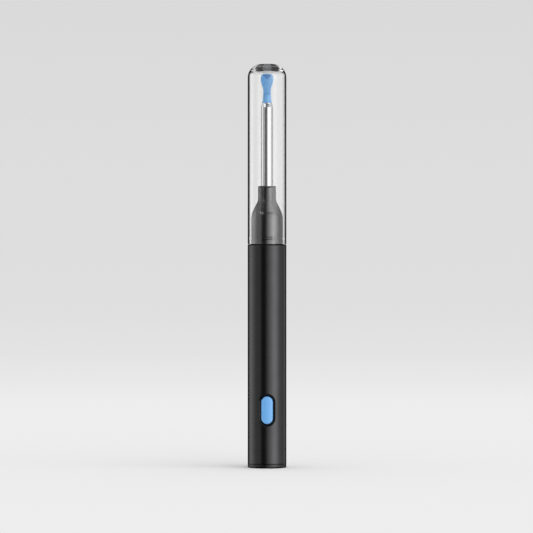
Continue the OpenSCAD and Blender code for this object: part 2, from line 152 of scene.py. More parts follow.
def pill(hw, hh, n):
    """n points, evenly spaced, round an upright stadium of half-width hw and half-height hh.

    The first is its lowest point."""
    hw = max(hw, TINY)
    straight = hh - hw                  # half the length of a straight side
    side, end = 2 * straight, math.pi * hw
    total = 2 * (side + end)
    points = []
    for k in range(n):
        s = total * k / n               # distance along the outline
        if s < end / 2:
            a = -math.pi / 2 + s / hw
            points.append((hw * math.cos(a), -straight + hw * math.sin(a)))
        elif s < end / 2 + side:
            points.append((hw, -straight + s - end / 2))
        elif s < 1.5 * end + side:
            a = (s - end / 2 - side) / hw
            points.append((hw * math.cos(a), straight + hw * math.sin(a)))
        elif s < 1.5 * end + 2 * side:
            points.append((-hw, straight - (s - 1.5 * end - side)))
        else:
            a = math.pi + (s - 1.5 * end - 2 * side) / hw
            points.append((hw * math.cos(a), -straight + hw * math.sin(a)))
    return points


def on_barrel(points, r):
    """Front-view points laid on the front of an upright cylinder of radius r, at the button's height."""
    return [(x, -math.sqrt(max(r * r - x * x, 0)), z + BUTTON_Z) for x, z in points]


def on_plane(points, y):
    return [(x, y, z + BUTTON_Z) for x, z in points]


def between(one, two, t):
    """The points that lie a share t of the way from one flat outline to another."""
    return [(a[0] + (b[0] - a[0]) * t, a[1] + (b[1] - a[1]) * t) for a, b in zip(one, two)]


def quarter(radius, steps):
    """(distance from the wall, drop below the top) along a rounded edge, from the top to the wall."""
    return [(radius * (1 - math.sin(math.pi / 2 * i / steps)),
             radius * (1 - math.cos(math.pi / 2 * i / steps))) for i in range(steps + 1)]


# ---- Materials ----

def nodes_of(name):
    mat = bpy.data.materials.new(name)
    mat.use_nodes = True
    tree = mat.node_tree
    return mat, tree, tree.nodes["Principled BSDF"]


def set_inputs(node, values):
    for socket, value in values.items():
        node.inputs[socket].default_value = value


def place(tree):
    return tree.nodes.new("ShaderNodeTexCoord").outputs["Object"]


def noise(tree, where, size_mm, detail=3.0, rough=0.5, stretch=(1, 1, 1)):
    """Noise with features about that size, stretched along the axes."""
    mapping = tree.nodes.new("ShaderNodeMapping")
    mapping.inputs["Scale"].default_value = [1 / (size_mm * MM * s) for s in stretch]
    tree.links.new(where, mapping.inputs["Vector"])
    node = tree.nodes.new("ShaderNodeTexNoise")
    set_inputs(node, {"Scale": 1.0, "Detail": detail, "Roughness": rough})
    tree.links.new(mapping.outputs["Vector"], node.inputs["Vector"])
    return node.outputs["Fac"]


def spread(tree, value, low, high):
    """Noise, which mostly stays between 0.3 and 0.7, spread from low to high."""
    node = tree.nodes.new("ShaderNodeMapRange")
    set_inputs(node, {"From Min": 0.3, "From Max": 0.7, "To Min": low, "To Max": high})
    tree.links.new(value, node.inputs["Value"])
    return node.outputs["Result"]


def blend_colour(tree, value, one, two):
    node = tree.nodes.new("ShaderNodeMix")
    node.data_type = "RGBA"
    node.inputs[6].default_value = (*one, 1)
    node.inputs[7].default_value = (*two, 1)
    tree.links.new(value, node.inputs[0])
    return node.outputs[2]


def bump(tree, height, strength, depth_mm):
    node = tree.nodes.new("ShaderNodeBump")
    set_inputs(node, {"Strength": strength, "Distance": depth_mm * MM})
    tree.links.new(height, node.inputs["Height"])
    return node.outputs["Normal"]


def surface(name, colour, roughness, metallic=0.0, vary=0.12, grain_mm=0.06, grain_depth=0.0015,
            patch_mm=3.0, rough_vary=0.04, specular=0.5):
    """A solid material: its colour and roughness vary in soft patches, and it has a fine grain."""
    mat, tree, bsdf = nodes_of(name)
    where = place(tree)
    patches = noise(tree, where, patch_mm, 4.0, 0.55)
    low = [c * (1 - vary) for c in colour]
    high = [min(1, c * (1 + vary)) for c in colour]
    tree.links.new(blend_colour(tree, spread(tree, patches, 0, 1), low, high), bsdf.inputs["Base Color"])
    smears = noise(tree, where, patch_mm * 0.4, 3.0, 0.6)
    tree.links.new(spread(tree, smears, roughness - rough_vary, roughness + rough_vary),
                   bsdf.inputs["Roughness"])
    grain = noise(tree, where, grain_mm, 2.0, 0.5)
    tree.links.new(bump(tree, grain, 0.6, grain_depth), bsdf.inputs["Normal"])
    set_inputs(bsdf, {"Metallic": metallic, "Specular IOR Level": specular})
    return mat


def clear_material(name, tint, ior, roughness):
    """Clear plastic or glass with a faint haze and a slow ripple."""
    mat, tree, bsdf = nodes_of(name)
    where = place(tree)
    haze = noise(tree, where, 4.0, 3.0, 0.5)
    tree.links.new(spread(tree, haze, roughness * 0.6, roughness * 1.4), bsdf.inputs["Roughness"])
    ripple = noise(tree, where, 9.0, 1.0, 0.4, (1, 1, 3))
    tree.links.new(bump(tree, ripple, 0.25, 0.004), bsdf.inputs["Normal"])
    set_inputs(bsdf, {"Base Color": (*tint, 1), "Transmission Weight": 1.0, "IOR": ior})
    return mat


def rubber_material(name, colour):
    """Soft silicone: a little light goes into it, and its skin is faintly uneven."""
    mat, tree, bsdf = nodes_of(name)
    where = place(tree)
    cloud = noise(tree, where, 1.2, 4.0, 0.6)
    low = [c * 0.93 for c in colour]
    high = [min(1, c * 1.06) for c in colour]
    tree.links.new(blend_colour(tree, spread(tree, cloud, 0, 1), low, high), bsdf.inputs["Base Color"])
    tree.links.new(spread(tree, noise(tree, where, 0.5), 0.28, 0.38), bsdf.inputs["Roughness"])
    tree.links.new(bump(tree, noise(tree, where, 0.09, 3.0), 0.5, 0.004), bsdf.inputs["Normal"])
    set_inputs(bsdf, {"Subsurface Weight": 0.25, "Subsurface Scale": 0.0008, "Sheen Weight": 0.08,
                      "Sheen Roughness": 0.5, "IOR": 1.42, "Subsurface Radius": (0.5, 0.8, 1.0)})
    return mat


def brushed_round(name, colour, roughness):
    """Turned and polished metal: very fine rings round the axis, and faint soft marks along it."""
    mat, tree, bsdf = nodes_of(name)
    where = place(tree)
    turning = noise(tree, where, 0.05, 2.0, 0.6, (40, 40, 1))
    marks = noise(tree, where, 1.5, 3.0, 0.6, (1, 1, 5))
    tree.links.new(spread(tree, marks, roughness * 0.7, roughness * 1.35), bsdf.inputs["Roughness"])
    low = [c * 0.96 for c in colour]
    tree.links.new(blend_colour(tree, spread(tree, marks, 0, 1), low, colour), bsdf.inputs["Base Color"])
    tree.links.new(bump(tree, turning, 0.35, 0.0006), bsdf.inputs["Normal"])
    bsdf.inputs["Metallic"].default_value = 1.0
    return mat


materials = {
    "handle_black": surface("handle_black", (0.06, 0.06, 0.062), 0.2, metallic=1.0, vary=0.05,
                            grain_mm=0.035, grain_depth=0.0008, patch_mm=5.0, rough_vary=0.012),
    "end_cap_black": surface("end_cap_black", (0.05, 0.05, 0.052), 0.3, metallic=1.0, vary=0.06,
                             grain_mm=0.05, grain_depth=0.001, rough_vary=0.02),
    "nose_black": surface("nose_black", (0.095, 0.095, 0.098), 0.1, metallic=1.0, vary=0.05,
                          grain_mm=0.08, grain_depth=0.0006, rough_vary=0.015),
    "button_blue": surface("button_blue", (0.145, 0.41, 0.8), 0.22, vary=0.03, grain_mm=0.07,
                           grain_depth=0.001, patch_mm=2.0, rough_vary=0.03, specular=0.8),
    "bezel_black": surface("bezel_black", (0.004, 0.004, 0.004), 0.25, vary=0.15, grain_mm=0.06,
                           grain_depth=0.001, specular=0.28),
    # painted shade: a dark matte material laid where shade falls, in the seam's gap, the nose's pockets and
    # under the rim's foot
    "painted_shade_black": surface("painted_shade_black", (0.004, 0.004, 0.004), 0.6, vary=0.2, grain_mm=0.06,
                         grain_depth=0.001, specular=0.0),
    "clear_plastic": clear_material("clear_plastic", (1.0, 1.0, 1.0), 1.5, 0.012),
    "tip_blue": rubber_material("tip_blue", (0.15, 0.375, 0.69)),
    "polished_steel": brushed_round("polished_steel", (0.7, 0.7, 0.705), 0.045),
    "stamped_steel": surface("stamped_steel", (0.6, 0.61, 0.62), 0.3, metallic=1.0, vary=0.05,
                             grain_mm=0.04, grain_depth=0.001),
    "contact_gold": surface("contact_gold", (0.9, 0.66, 0.25), 0.22, metallic=1.0, vary=0.06,
                            patch_mm=0.6),
    "brass_ring": brushed_round("brass_ring", (0.75, 0.56, 0.25), 0.25),
    "board_green": surface("board_green", (0.012, 0.11, 0.05), 0.34, vary=0.2, grain_mm=0.1,
                           grain_depth=0.003, patch_mm=1.2),
    "chip_black": surface("chip_black", (0.02, 0.02, 0.022), 0.45, vary=0.2, grain_mm=0.05,
                          grain_depth=0.002),
    "ceramic_tan": surface("ceramic_tan", (0.38, 0.24, 0.1), 0.4, vary=0.12, patch_mm=0.5),
    "inner_grey": surface("inner_grey", (0.66, 0.66, 0.63), 0.42, vary=0.05, grain_mm=0.1,
                          grain_depth=0.003),
    "cell_wrap": surface("cell_wrap", (0.03, 0.11, 0.34), 0.28, vary=0.06, grain_mm=0.3,
                         grain_depth=0.004),
    "foam_grey": surface("foam_grey", (0.1, 0.1, 0.11), 0.85, vary=0.3, grain_mm=0.12,
                         grain_depth=0.03, patch_mm=0.5),
    "lead_insulation": surface("lead_insulation", (0.5, 0.02, 0.015), 0.45, vary=0.08),
    "flex_amber": surface("flex_amber", (0.55, 0.2, 0.02), 0.3, vary=0.15, patch_mm=1.0),
    "seal_black": surface("seal_black", (0.015, 0.015, 0.016), 0.5, vary=0.15, grain_mm=0.08,
                          grain_depth=0.003),
    "led_white": surface("led_white", (0.9, 0.8, 0.42), 0.5, vary=0.05, patch_mm=0.3),
    "light_pipe": clear_material("light_pipe", (0.93, 0.97, 1.0), 1.49, 0.2),
    "window_glass": clear_material("window_glass", (0.55, 0.68, 0.75), 1.52, 0.02),
}


def dress(obj, slot, body, replaces):
    """Gives a new piece the material of its slot, parents it to its body and hides the CAD nodes it stands
    for.
    """
    obj.data.materials.clear()
    obj.data.materials.append(materials[slot])
    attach(obj, body)
    if replaces:
        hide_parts(*replaces)
    return obj


# ---- Handle ----

def window_shell():
    """The handle tube: an outer and an inner skin, each a fine grid round a pill-shaped window."""
    columns, patch = 128, 32            # columns round the tube, and how many the window's patch spans
    rows, patch_h = 32, 16.0
    edge = 0.1                          # rounding of the window's outside edge
    step = TAU / columns
    z_low = BUTTON_Z - patch_h / 2
    hw, hh = BUTTON_HW + SURROUND, BUTTON_HH + SURROUND
    count = 2 * (patch + rows)
    inward = (0.14, 0.28, 0.42, 0.56, 0.7, 0.82, 0.92)      # of the way from the border to the window

    def column_angle(k):
        # column 0 is the left edge of the patch, and the patch is centred on -Y
        return -math.pi / 2 + (k - patch / 2) * step

    # the patch's border, from the middle of its lower edge, anticlockwise in the front view
    border = [(k, 0) for k in range(patch // 2, patch)]
    border += [(patch, j) for j in range(rows)]
    border += [(k, rows) for k in range(patch, 0, -1)]
    border += [(0, j) for j in range(rows, 0, -1)]
    border += [(k, 0) for k in range(patch // 2)]

    verts, faces = [], []

    def add(loop):
        first = len(verts)
        verts.extend(loop)
        return list(range(first, first + len(loop)))

    def join(one, two):
        n = len(one)
        for k in range(n):
            m = (k + 1) % n
            faces.append((one[k], one[m], two[m], two[k]))

    def level_ring(r, z):
        angles = [column_angle(k) for k in range(columns)]
        return add([(r * math.cos(a), r * math.sin(a), z) for a in angles])

    def skin(r, offsets):
        """Grid of one skin; offsets are its innermost rings' (distance outside the window, depth below r)."""
        grid = [level_ring(r, z_low + patch_h * j / rows) for j in range(rows + 1)]
        for j in range(rows):
            for k in range(patch, columns):
                m = (k + 1) % columns
                faces.append((grid[j][k], grid[j][m], grid[j + 1][m], grid[j + 1][k]))
        edge_loop = [grid[j][k] for k, j in border]
        outside = [(r * math.cos(column_angle(k)), z_low + patch_h * j / rows - BUTTON_Z) for k, j in border]
        window = pill(hw + offsets[0][0], hh + offsets[0][0], count)
        previous = edge_loop
        for t in inward:
            ring = add(on_barrel(between(outside, window, t), r))
            join(previous, ring)
            previous = ring
        for out, depth in offsets:
            ring = add(on_barrel(pill(hw + out, hh + out, count), r - depth))
            join(previous, ring)
            previous = ring
        return grid[0], grid[-1], previous

    outer_low, outer_high, outer_rim = skin(BODY_R, quarter(edge, 4))
    inner_low, inner_high, inner_rim = skin(BORE_R, [(0.0, 0.0)])
    join(outer_rim, inner_rim)

    def run(start, profile, end):
        previous = start
        for r, z in profile:
            ring = level_ring(r, z)
            join(previous, ring)
            previous = ring
        join(previous, end)

    gap_r = BODY_R - 0.05               # the shadow gap is sunk, up to the end at the cap's mouth
    gap_z = SEAM_Z - SEAM_H
    lip_z = gap_z - 0.02
    end_z = SEAM_Z + MOUTH_RISE - 0.01
    run(outer_high, [(BODY_R, z) for z in (34, 45, 56, 66, lip_z - 0.3, lip_z - 0.06)]
        + [(BODY_R - 0.02, lip_z), (gap_r, gap_z), (gap_r, gap_z + 0.04), (gap_r, end_z - 0.03),
           (gap_r - 0.01, end_z), (BORE_R, end_z)], inner_high)
    foot_z = tube_lo.z
    run(outer_low, [(BODY_R, z) for z in (7, 2.2, foot_z + 0.08)]
        + [(BODY_R - 0.015, foot_z + 0.03), (BODY_R - 0.06, foot_z), (BORE_R, foot_z)], inner_low)
    return make("handle_tube", verts, faces, sharp=50)


def end_piece():
    """The end cap: a rim with a rounded foot, a plug inside the tube and the slot of the socket."""
    n = 144
    socket_hw, socket_hh = 8.94 / 2, 3.26 / 2
    slack = 0.06                        # between the socket and its slot
    mouth = 0.12                        # rounding of the slot's mouth
    cup_r, cup_z = PLUG_R - 0.77, 2.6   # the hollow inside the plug

    def slot_loop(grow, z):
        outline = pill(socket_hh + slack + grow, socket_hw + slack + grow, n)
        return [(along, -across, z) for across, along in outline]

    def round_loop(radius, z):
        angles = [math.atan2(y, x) for x, y, _ in slot_loop(0, 0)]
        return [(radius * math.cos(a), radius * math.sin(a), z) for a in angles]

    loops = [slot_loop(0, cup_z), slot_loop(0, mouth), slot_loop(0.03, 0.04), slot_loop(mouth, 0)]
    for t in (0.35, 0.7):
        loops.append([(x, y, 0) for x, y in between(slot_loop(mouth, 0), round_loop(BODY_R - FOOT_R, 0), t)])
    side = arc(BODY_R - FOOT_R, FOOT_R, FOOT_R, -90, 0, 8)
    side += [(BODY_R, RIM_H - 0.05), (BODY_R - 0.015, RIM_H - 0.015), (BODY_R - 0.05, RIM_H), (PLUG_R, RIM_H),
             (PLUG_R, end_hi.z), (cup_r, end_hi.z), (cup_r, cup_z)]
    loops += [round_loop(r, z) for r, z in side]
    return rings("end_cap_rim", loops)


BUTTON_POINTS = 128


def button_loop(grow, r):
    """The button's outline, grown, on a cylinder of radius r."""
    return on_barrel(pill(BUTTON_HW + grow, BUTTON_HH + grow, BUTTON_POINTS), r)


def flat_loop(grow, y):
    """The same on a flat plane inside the handle."""
    return on_plane(pill(BUTTON_HW + grow, BUTTON_HH + grow, BUTTON_POINTS), y)


def bezel_piece():
    """The sunk ring between the button and the handle."""
    gap, out = 0.1, SURROUND - 0.04     # its hole and its outside, measured from the button's outline
    top = BODY_R - 0.3
    low = top - 0.45                    # the front is dished towards the button
    soft = 0.06
    flange, flange_r = SURROUND + 0.8, BORE_R - 0.05
    pocket, pocket_y = 0.65, -5.2       # the recess in the back that the button's own flange moves in
    back_y = -4.3

    loops = [button_loop(gap, low - soft)]
    loops += [button_loop(gap + soft - a, low - b) for a, b in reversed(quarter(soft, 3))]
    for t in (0.3, 0.6, 0.9):
        loops.append(button_loop(gap + soft + (out - 2 * soft - gap) * t, low + (top - low) * t))
    loops += [button_loop(out - a, top - b) for a, b in quarter(soft, 3)]
    loops += [button_loop(out, flange_r), button_loop(flange, flange_r), flat_loop(flange, back_y)]
    loops += [flat_loop(pocket, back_y), flat_loop(pocket, pocket_y), flat_loop(gap, pocket_y)]
    return rings("button_surround", loops)


def button_piece():
    """The button: crowned like the handle, with a rounded edge, a hidden flange and its stem."""
    soft = 0.3
    flange, flange_back, flange_front = 0.55, -4.65, -5.15
    stem_r, stem_tip = 0.9, -3.45
    stem = pill(stem_r, stem_r + 1e-4, BUTTON_POINTS)
    centre = pill(TINY, 2 * TINY, BUTTON_POINTS)

    loops = [on_plane(centre, stem_tip), on_plane(stem, stem_tip), on_plane(stem, flange_back)]
    loops += [flat_loop(flange, flange_back), flat_loop(flange, flange_front), flat_loop(0, flange_front)]
    loops += [button_loop(0, BODY_R - soft - 0.25)]
    loops += [button_loop(-a, BODY_R - b) for a, b in reversed(quarter(soft, 7))]
    loops += [button_loop(-(soft + (BUTTON_HW - soft) * t), BODY_R) for t in (0.12, 0.25, 0.4, 0.6, 0.8, 1.0)]
    return rings("push_button", loops, closed=False, sharp=45)


# ---- Nose, barrel and cap ----

def bake(obj):
    """Makes what the modifiers do part of the mesh."""
    graph = bpy.context.evaluated_depsgraph_get()
    made = bpy.data.meshes.new_from_object(obj.evaluated_get(graph), depsgraph=graph)
    obj.modifiers.clear()
    obj.data = made


def cut(obj, cutters):
    """Takes the cutters' shapes out of a piece and removes them."""
    for cutter in cutters:
        change = obj.modifiers.new("cut", "BOOLEAN")
        change.operation = "DIFFERENCE"
        change.solver = "EXACT"
        change.object = cutter
    bake(obj)
    for cutter in cutters:
        bpy.data.objects.remove(cutter)
    smooth_shade(obj.data, 40)
    return obj


def nose_piece():
    """The bottle-shaped nose, hollow inside, with the ring recess and the pockets of the cap pads."""
    r, top = NOSE_R, nose_hi.z
    slope = 26.5                        # of the shoulder, in degrees from upright
    bend_z, neck_z = 83.2, 89.65        # where the shoulder starts to bend and where its slope meets the neck
    tilt = math.radians(slope)
    overhang = r - NECK_R - (neck_z - bend_z) * math.tan(tilt)
    bend = overhang / (1 - math.cos(tilt) - math.sin(tilt) * math.tan(tilt))
    foot_z = 75.0                       # where the plug widens to the nose
    g0, g1 = DETENT_Z
    floor_r = r - 0.07                  # of the ring recess
    reach = 2.42 * math.tan(tilt / 2)   # of the cove at the neck's foot, both ways
    cavity_r, seat_r = 4.6, 2.6         # of the hollow inside and of the barrel's seat in it

    outer = [(PLUG_R - 0.2, nose_lo.z), (PLUG_R, nose_lo.z + 0.2), (PLUG_R, foot_z - 0.1), (r + 0.06, foot_z)]
    outer += [(r, z) for z in (foot_z + 0.2, foot_z + 0.3, g0 - 0.1, g0 - 0.02)]
    outer += [(r - 0.03, g0 + 0.01), (floor_r + 0.02, g0 + 0.05), (floor_r, g0 + 0.08)]
    outer += [(floor_r, g1 - 0.08), (floor_r + 0.02, g1 - 0.05), (r - 0.03, g1 - 0.01)]
    outer += [(r, z) for z in (g1 + 0.02, g1 + 0.1, 80.0, bend_z - 0.2)]
    outer += arc(r - bend, bend_z, bend, 0, slope, 14)
    outer += cove(Vector((NECK_R, neck_z)), tilt, reach)
    outer += [(NECK_R, z) for z in (91.0, top - 0.3, top - 0.17, top - 0.12)]
    outer += [(NECK_R - 0.03, top - 0.03), (NECK_R - 0.1, top)]
    inner = [(NECK_BORE_R, top), (NECK_BORE_R, 85.5), (seat_r, 85.5), (seat_r, 83.7), (cavity_r, 79.5),
             (cavity_r, nose_lo.z)]
    shell = lathe("nose_shell", outer + inner, n=160, sharp=40)
    return cut(shell, [curved_block("pocket", angle, PAD_HALF + PAD_END_GAP, POCKET_R, 6.2, *POCKET_Z, 0.03)
                       for angle in (-90, 90)])


def cove(corner, tilt, reach):
    """A curve that blends a wall, tilted from upright below the corner, into the upright above it."""
    start = corner + Vector((math.sin(tilt), -math.cos(tilt))) * reach
    end = corner + Vector((0, 1)) * reach
    steps = 8
    return [tuple(start * (1 - t) ** 2 + corner * 2 * t * (1 - t) + end * t * t)
            for t in (i / steps for i in range(steps + 1))]


def paint_shade(obj, is_in_shade):
    """Paints shade: makes the faces dark whose centre's radius and height the given mask accepts."""
    obj.data.materials.append(materials["painted_shade_black"])
    for p in obj.data.polygons:
        x, y, z = p.center / MM
        if is_in_shade(math.hypot(x, y), z):
            p.material_index = 1


def in_pocket_shade(r, z):
    """Painted shade in the pad pockets and on the nose's foot at the seam."""
    pocket = POCKET_R - 0.03 < r < NOSE_R - 0.17 and POCKET_Z[0] < z < POCKET_Z[1]
    return pocket or z < SEAM_Z + 0.2


def in_foot_shade(r, z):
    """Painted shade on the lowest part of the rim's rounding, which no light reaches."""
    return r > BODY_R - FOOT_R and z < 0.14


def in_seam_shade(r, z):
    """Painted shade in the shadow gap between the handle and the cap."""
    return r > BORE_R and z > SEAM_Z - SEAM_H - 0.01


def curved_block(name, angle, half_w, r0, r1, z0, z1, soft):
    """A block with rounded edges, bent round the axis, facing angle degrees."""
    bm = bmesh.new()
    bmesh.ops.create_cube(bm, size=1)
    for v in bm.verts:
        v.co = Vector((v.co.x * 2 * half_w, (v.co.y + 0.5) * (r1 - r0), (v.co.z + 0.5) * (z1 - z0)))
    bmesh.ops.bevel(bm, geom=list(bm.edges), offset=soft, segments=3, profile=0.5, affect="EDGES")
    for x in (0, -0.6, -0.3, 0.3, 0.6):         # cuts that let it bend
        bmesh.ops.bisect_plane(bm, geom=bm.verts[:] + bm.edges[:] + bm.faces[:],
                               plane_co=(x * half_w, 0, 0), plane_no=(1, 0, 0))
    for v in bm.verts:
        a = math.radians(angle) + v.co.x / NOSE_R
        r = r0 + v.co.y
        v.co = Vector((r * math.cos(a), r * math.sin(a), z0 + v.co.z)) * MM
    mesh = bpy.data.meshes.new(name)
    bmesh.ops.reverse_faces(bm, faces=bm.faces)     # the bend mirrors the block
    bm.to_mesh(mesh)
    bm.free()
    return finish_mesh(name, mesh, 50)


def barrel_piece():
    """The camera's steel barrel with its stepped end."""
    r, bore, foot = BARREL_R, 1.72, 82.5
    flange_r, flange_z = 2.55, (84.65, 85.4)
    seat = 122.45                       # the step that the ear tip stands on
    neck_r, neck_bore = 1.1, 0.88
    outer = [(r, foot), (r, flange_z[0]), (flange_r, flange_z[0]), (flange_r, flange_z[1]), (r, flange_z[1])]
    outer += [(r, z) for z in (95.0, 110.0, seat - 1.75, seat - 1.56, seat - 1.53)]
    outer += [(1.975, seat - 1.45), (1.93, seat - 1.3), (1.855, seat - 1.05), (1.765, seat - 0.75),
              (1.68, seat - 0.45), (1.6, seat - 0.14), (1.595, seat - 0.06), (1.57, seat - 0.02)]
    outer += [(neck_r, seat - 0.02), (neck_r, barrel_hi.z - 0.06), (neck_r - 0.06, barrel_hi.z)]
    inner = [(neck_bore, barrel_hi.z), (neck_bore, seat - 0.65), (bore, seat - 1.85), (bore, foot)]
    return lathe("steel_barrel", outer + inner, n=128, sharp=30)


def seal_piece():
    """The dark ring at the top of the nose's neck."""
    soft = 0.14
    z0, z1 = seal_lo.z, seal_hi.z
    profile = [(NECK_BORE_R, z0), (NECK_R, z0), (NECK_R, z1 - soft)]
    profile += arc(NECK_R - soft, z1 - soft, soft, 15, 90, 5)
    profile += [(NECK_BORE_R + 0.05, z1), (NECK_BORE_R, z1 - 0.05)]
    return lathe("barrel_collar", profile, n=128)


def cap_piece():
    """The clear cap: a round-ended tube with a groove inside its mouth."""
    r, bore = BODY_R, BODY_R - CAP_WALL
    z0, z1 = cap_lo.z + MOUTH_RISE, cap_hi.z
    ceiling = z1 - 2.1
    corner, inner_corner = 4.6, 2.0
    g0, g1 = CAP_GROOVE_Z
    groove_r, groove_edge = bore + 0.06, 0.04
    heights = (80, 90, 100, 110, 120)   # of the plain rings on both sides of the wall
    outer = [(bore + 0.06, z0), (r - 0.07, z0), (r - 0.02, z0 + 0.02), (r, z0 + 0.07)]
    outer += [(r, z) for z in (z0 + 0.12, *heights, z1 - corner - 0.2)]
    outer += arc(r - corner, z1 - corner, corner, 0, 90, 28) + [(0.9, z1), (0, z1)]
    inner = [(0, ceiling), (1.6, ceiling)]
    inner += arc(bore - inner_corner, ceiling - inner_corner, inner_corner, 90, 0, 20)
    inner += [(bore, z) for z in (ceiling - inner_corner - 0.2, *reversed(heights), g1 + 0.1, g1)]
    inner += [(groove_r, g1 - groove_edge), (groove_r, g0 + groove_edge)]
    inner += [(bore, z) for z in (g0, g0 - 0.1, z0 + 0.12, z0 + 0.06)]
    return lathe("clear_cap", inner + outer, n=192, closed=False, sharp=35)


def tip_piece():
    """The soft ear tip: the CAD solid's shape, remeshed finely and smoothed as moulded silicone is."""
    mesh = frame["nodes"]["ear_tip"].data.copy()
    mesh.name = "soft_ear_tip"
    mesh.materials.clear()
    bm = bmesh.new()
    bm.from_mesh(mesh)
    bmesh.ops.remove_doubles(bm, verts=bm.verts, dist=1e-7)
    bm.to_mesh(mesh)
    bm.free()
    obj = bpy.data.objects.new("soft_ear_tip", mesh)
    scene.collection.objects.link(obj)
    remesh = obj.modifiers.new("remesh", "REMESH")
    remesh.mode = "VOXEL"
    remesh.voxel_size = 0.06 * MM
    smooth = obj.modifiers.new("smooth", "SMOOTH")
    smooth.factor = 0.5
    smooth.iterations = 5
    bake(obj)
    obj.data.name = "soft_ear_tip"
    smooth_shade(obj.data, None)
    return obj


# the dark faces at the seam, the rim's foot, the nose's pockets and the nose's foot are painted shade
paint_shade(dress(window_shell(), "handle_black", "handle", ["body_tube"]), in_seam_shade)
paint_shade(dress(end_piece(), "end_cap_black", "handle", ["end_cap"]), in_foot_shade)
dress(bezel_piece(), "bezel_black", "handle", ["button_bezel"])
dress(button_piece(), "button_blue", "button_body", ["button"])
paint_shade(dress(nose_piece(), "nose_black", "handle", ["nose"]), in_pocket_shade)
for side, angle in (("front", -90), ("back", 90)):
    pad = curved_block("cap_pad_" + side, angle, PAD_HALF, *PAD_R, *PAD_Z, 0.07)
    dress(pad, "nose_black", "handle", ["cap_detents"] if side == "front" else [])
dress(barrel_piece(), "polished_steel", "handle", ["camera_barrel"])
dress(seal_piece(), "seal_black", "handle", ["barrel_seal"])
dress(tip_piece(), "tip_blue", "tip_body", ["ear_tip"])
cap = dress(cap_piece(), "clear_plastic", "cap_body", ["cap"])
# clear plastic hardly shades the floor
cap.visible_shadow = False
cap.visible_diffuse = False

# every CAD node that still shows takes its slot's material
slot_of = {part["node"]: part["material_slot"] for part in frame["record"]["subparts"]}
for node, obj in frame["nodes"].items():
    if not obj.material_slots:
        obj.data.materials.append(None)
    for material_slot in obj.material_slots:
        material_slot.material = materials[slot_of[node]]


# ---- Stage, light and camera ----

# These are in metres. Angles round the object are 0 towards the camera and grow to the right.

FLOOR_R = 1.35                          # where the floor turns into the wall
BEND_R = 0.25                           # of the bend between them
WALL_H = 1.7
WALL_FADE_H = 0.4                       # the height over which the wall's painted glow changes
TENT_R = 1.2
FLAG_R = 1.1
FLAG_Z = (-0.3, 0.34)
FLAGS = [(146, 162.5), (-162.5, -146), (-72, -56), (-124, -108)]

# light tent: (angle, brightness) of its pattern level with the object and of the one above
LEVEL = [(-180, 0.17), (-168, 0.12), (-164, 0.0), (-138, 0.02), (-128, 0.8), (-118, 1.3), (-108, 1.45),
         (-98, 1.28), (-84, 0.9), (-72, 0.56), (-60, 0.5), (-45, 0.5), (-38, 0.36), (-32, 0.1), (-20, 0.07),
         (-10, 0.1), (-4, 0.3), (4, 0.68), (16, 1.15), (28, 1.75), (38, 2.25), (50, 2.4), (58, 2.05),
         (68, 1.4), (80, 0.88), (95, 0.72), (108, 0.55), (120, 0.55), (132, 0.75), (140, 0.05), (164, 0.0),
         (168, 0.12), (180, 0.17)]
ABOVE = [(-180, 0.17), (-140, 0.2), (-120, 0.5), (-90, 0.6), (-72, 0.9), (-60, 1.6), (-42, 1.7), (-34, 1.2),
         (-25, 0.3), (-10, 0.1), (10, 0.08), (22, 0.15), (34, 0.4), (56, 0.8), (90, 0.8), (120, 0.5),
         (140, 0.2), (180, 0.17)]
# its rows: (height, share of the level pattern, share of the pattern above)
TENT_ROWS = [(-5.0, 0.0, 0.0), (-0.9, 0.0, 0.0), (-0.75, 0.3, 0.0), (-0.42, 0.35, 0.0), (-0.3, 1.0, 0.0),
             (0.66, 1.0, 0.0), (0.73, 0.0, 1.0), (0.97, 0.0, 1.0), (1.05, 1.0, 0.0), (1.7, 1.0, 0.0)]


def facing(angle, radius, height):
    """The place at that angle round the object."""
    a = math.radians(angle - 90)
    return (radius * math.cos(a), radius * math.sin(a), height)


def emission(name, colour):
    """A material that glows evenly and isn't sampled as a lamp."""
    mat = bpy.data.materials.new(name)
    mat.use_nodes = True
    tree = mat.node_tree
    tree.nodes.clear()
    out = tree.nodes.new("ShaderNodeOutputMaterial")
    glow = tree.nodes.new("ShaderNodeEmission")
    set_inputs(glow, {"Color": (*colour, 1), "Strength": 1.0})
    tree.links.new(glow.outputs[0], out.inputs["Surface"])
    mat.cycles.emission_sampling = "NONE"
    return mat, tree, glow


def ramp(tree, value, stops):
    """Grey that runs through the (value from 0 to 1, grey) stops."""
    node = tree.nodes.new("ShaderNodeValToRGB")
    node.color_ramp.interpolation = "LINEAR"
    elements = node.color_ramp.elements
    elements.remove(elements[1])
    elements[0].position = stops[0][0]
    for at, _ in stops[1:]:
        elements.new(at)
    for element, (_, grey) in zip(elements, stops):
        element.color = (grey, grey, grey, 1)
    tree.links.new(value, node.inputs["Fac"])
    return node.outputs["Color"]


def share(tree, value, whole):
    """The value as a share of the whole."""
    node = tree.nodes.new("ShaderNodeMath")
    node.operation = "DIVIDE"
    node.inputs[1].default_value = whole
    tree.links.new(value, node.inputs[0])
    return node.outputs[0]


def only_seen_by(obj, *kinds):
    for kind in ("camera", "diffuse", "glossy", "transmission", "volume_scatter", "shadow"):
        setattr(obj, "visible_" + kind, kind in kinds)


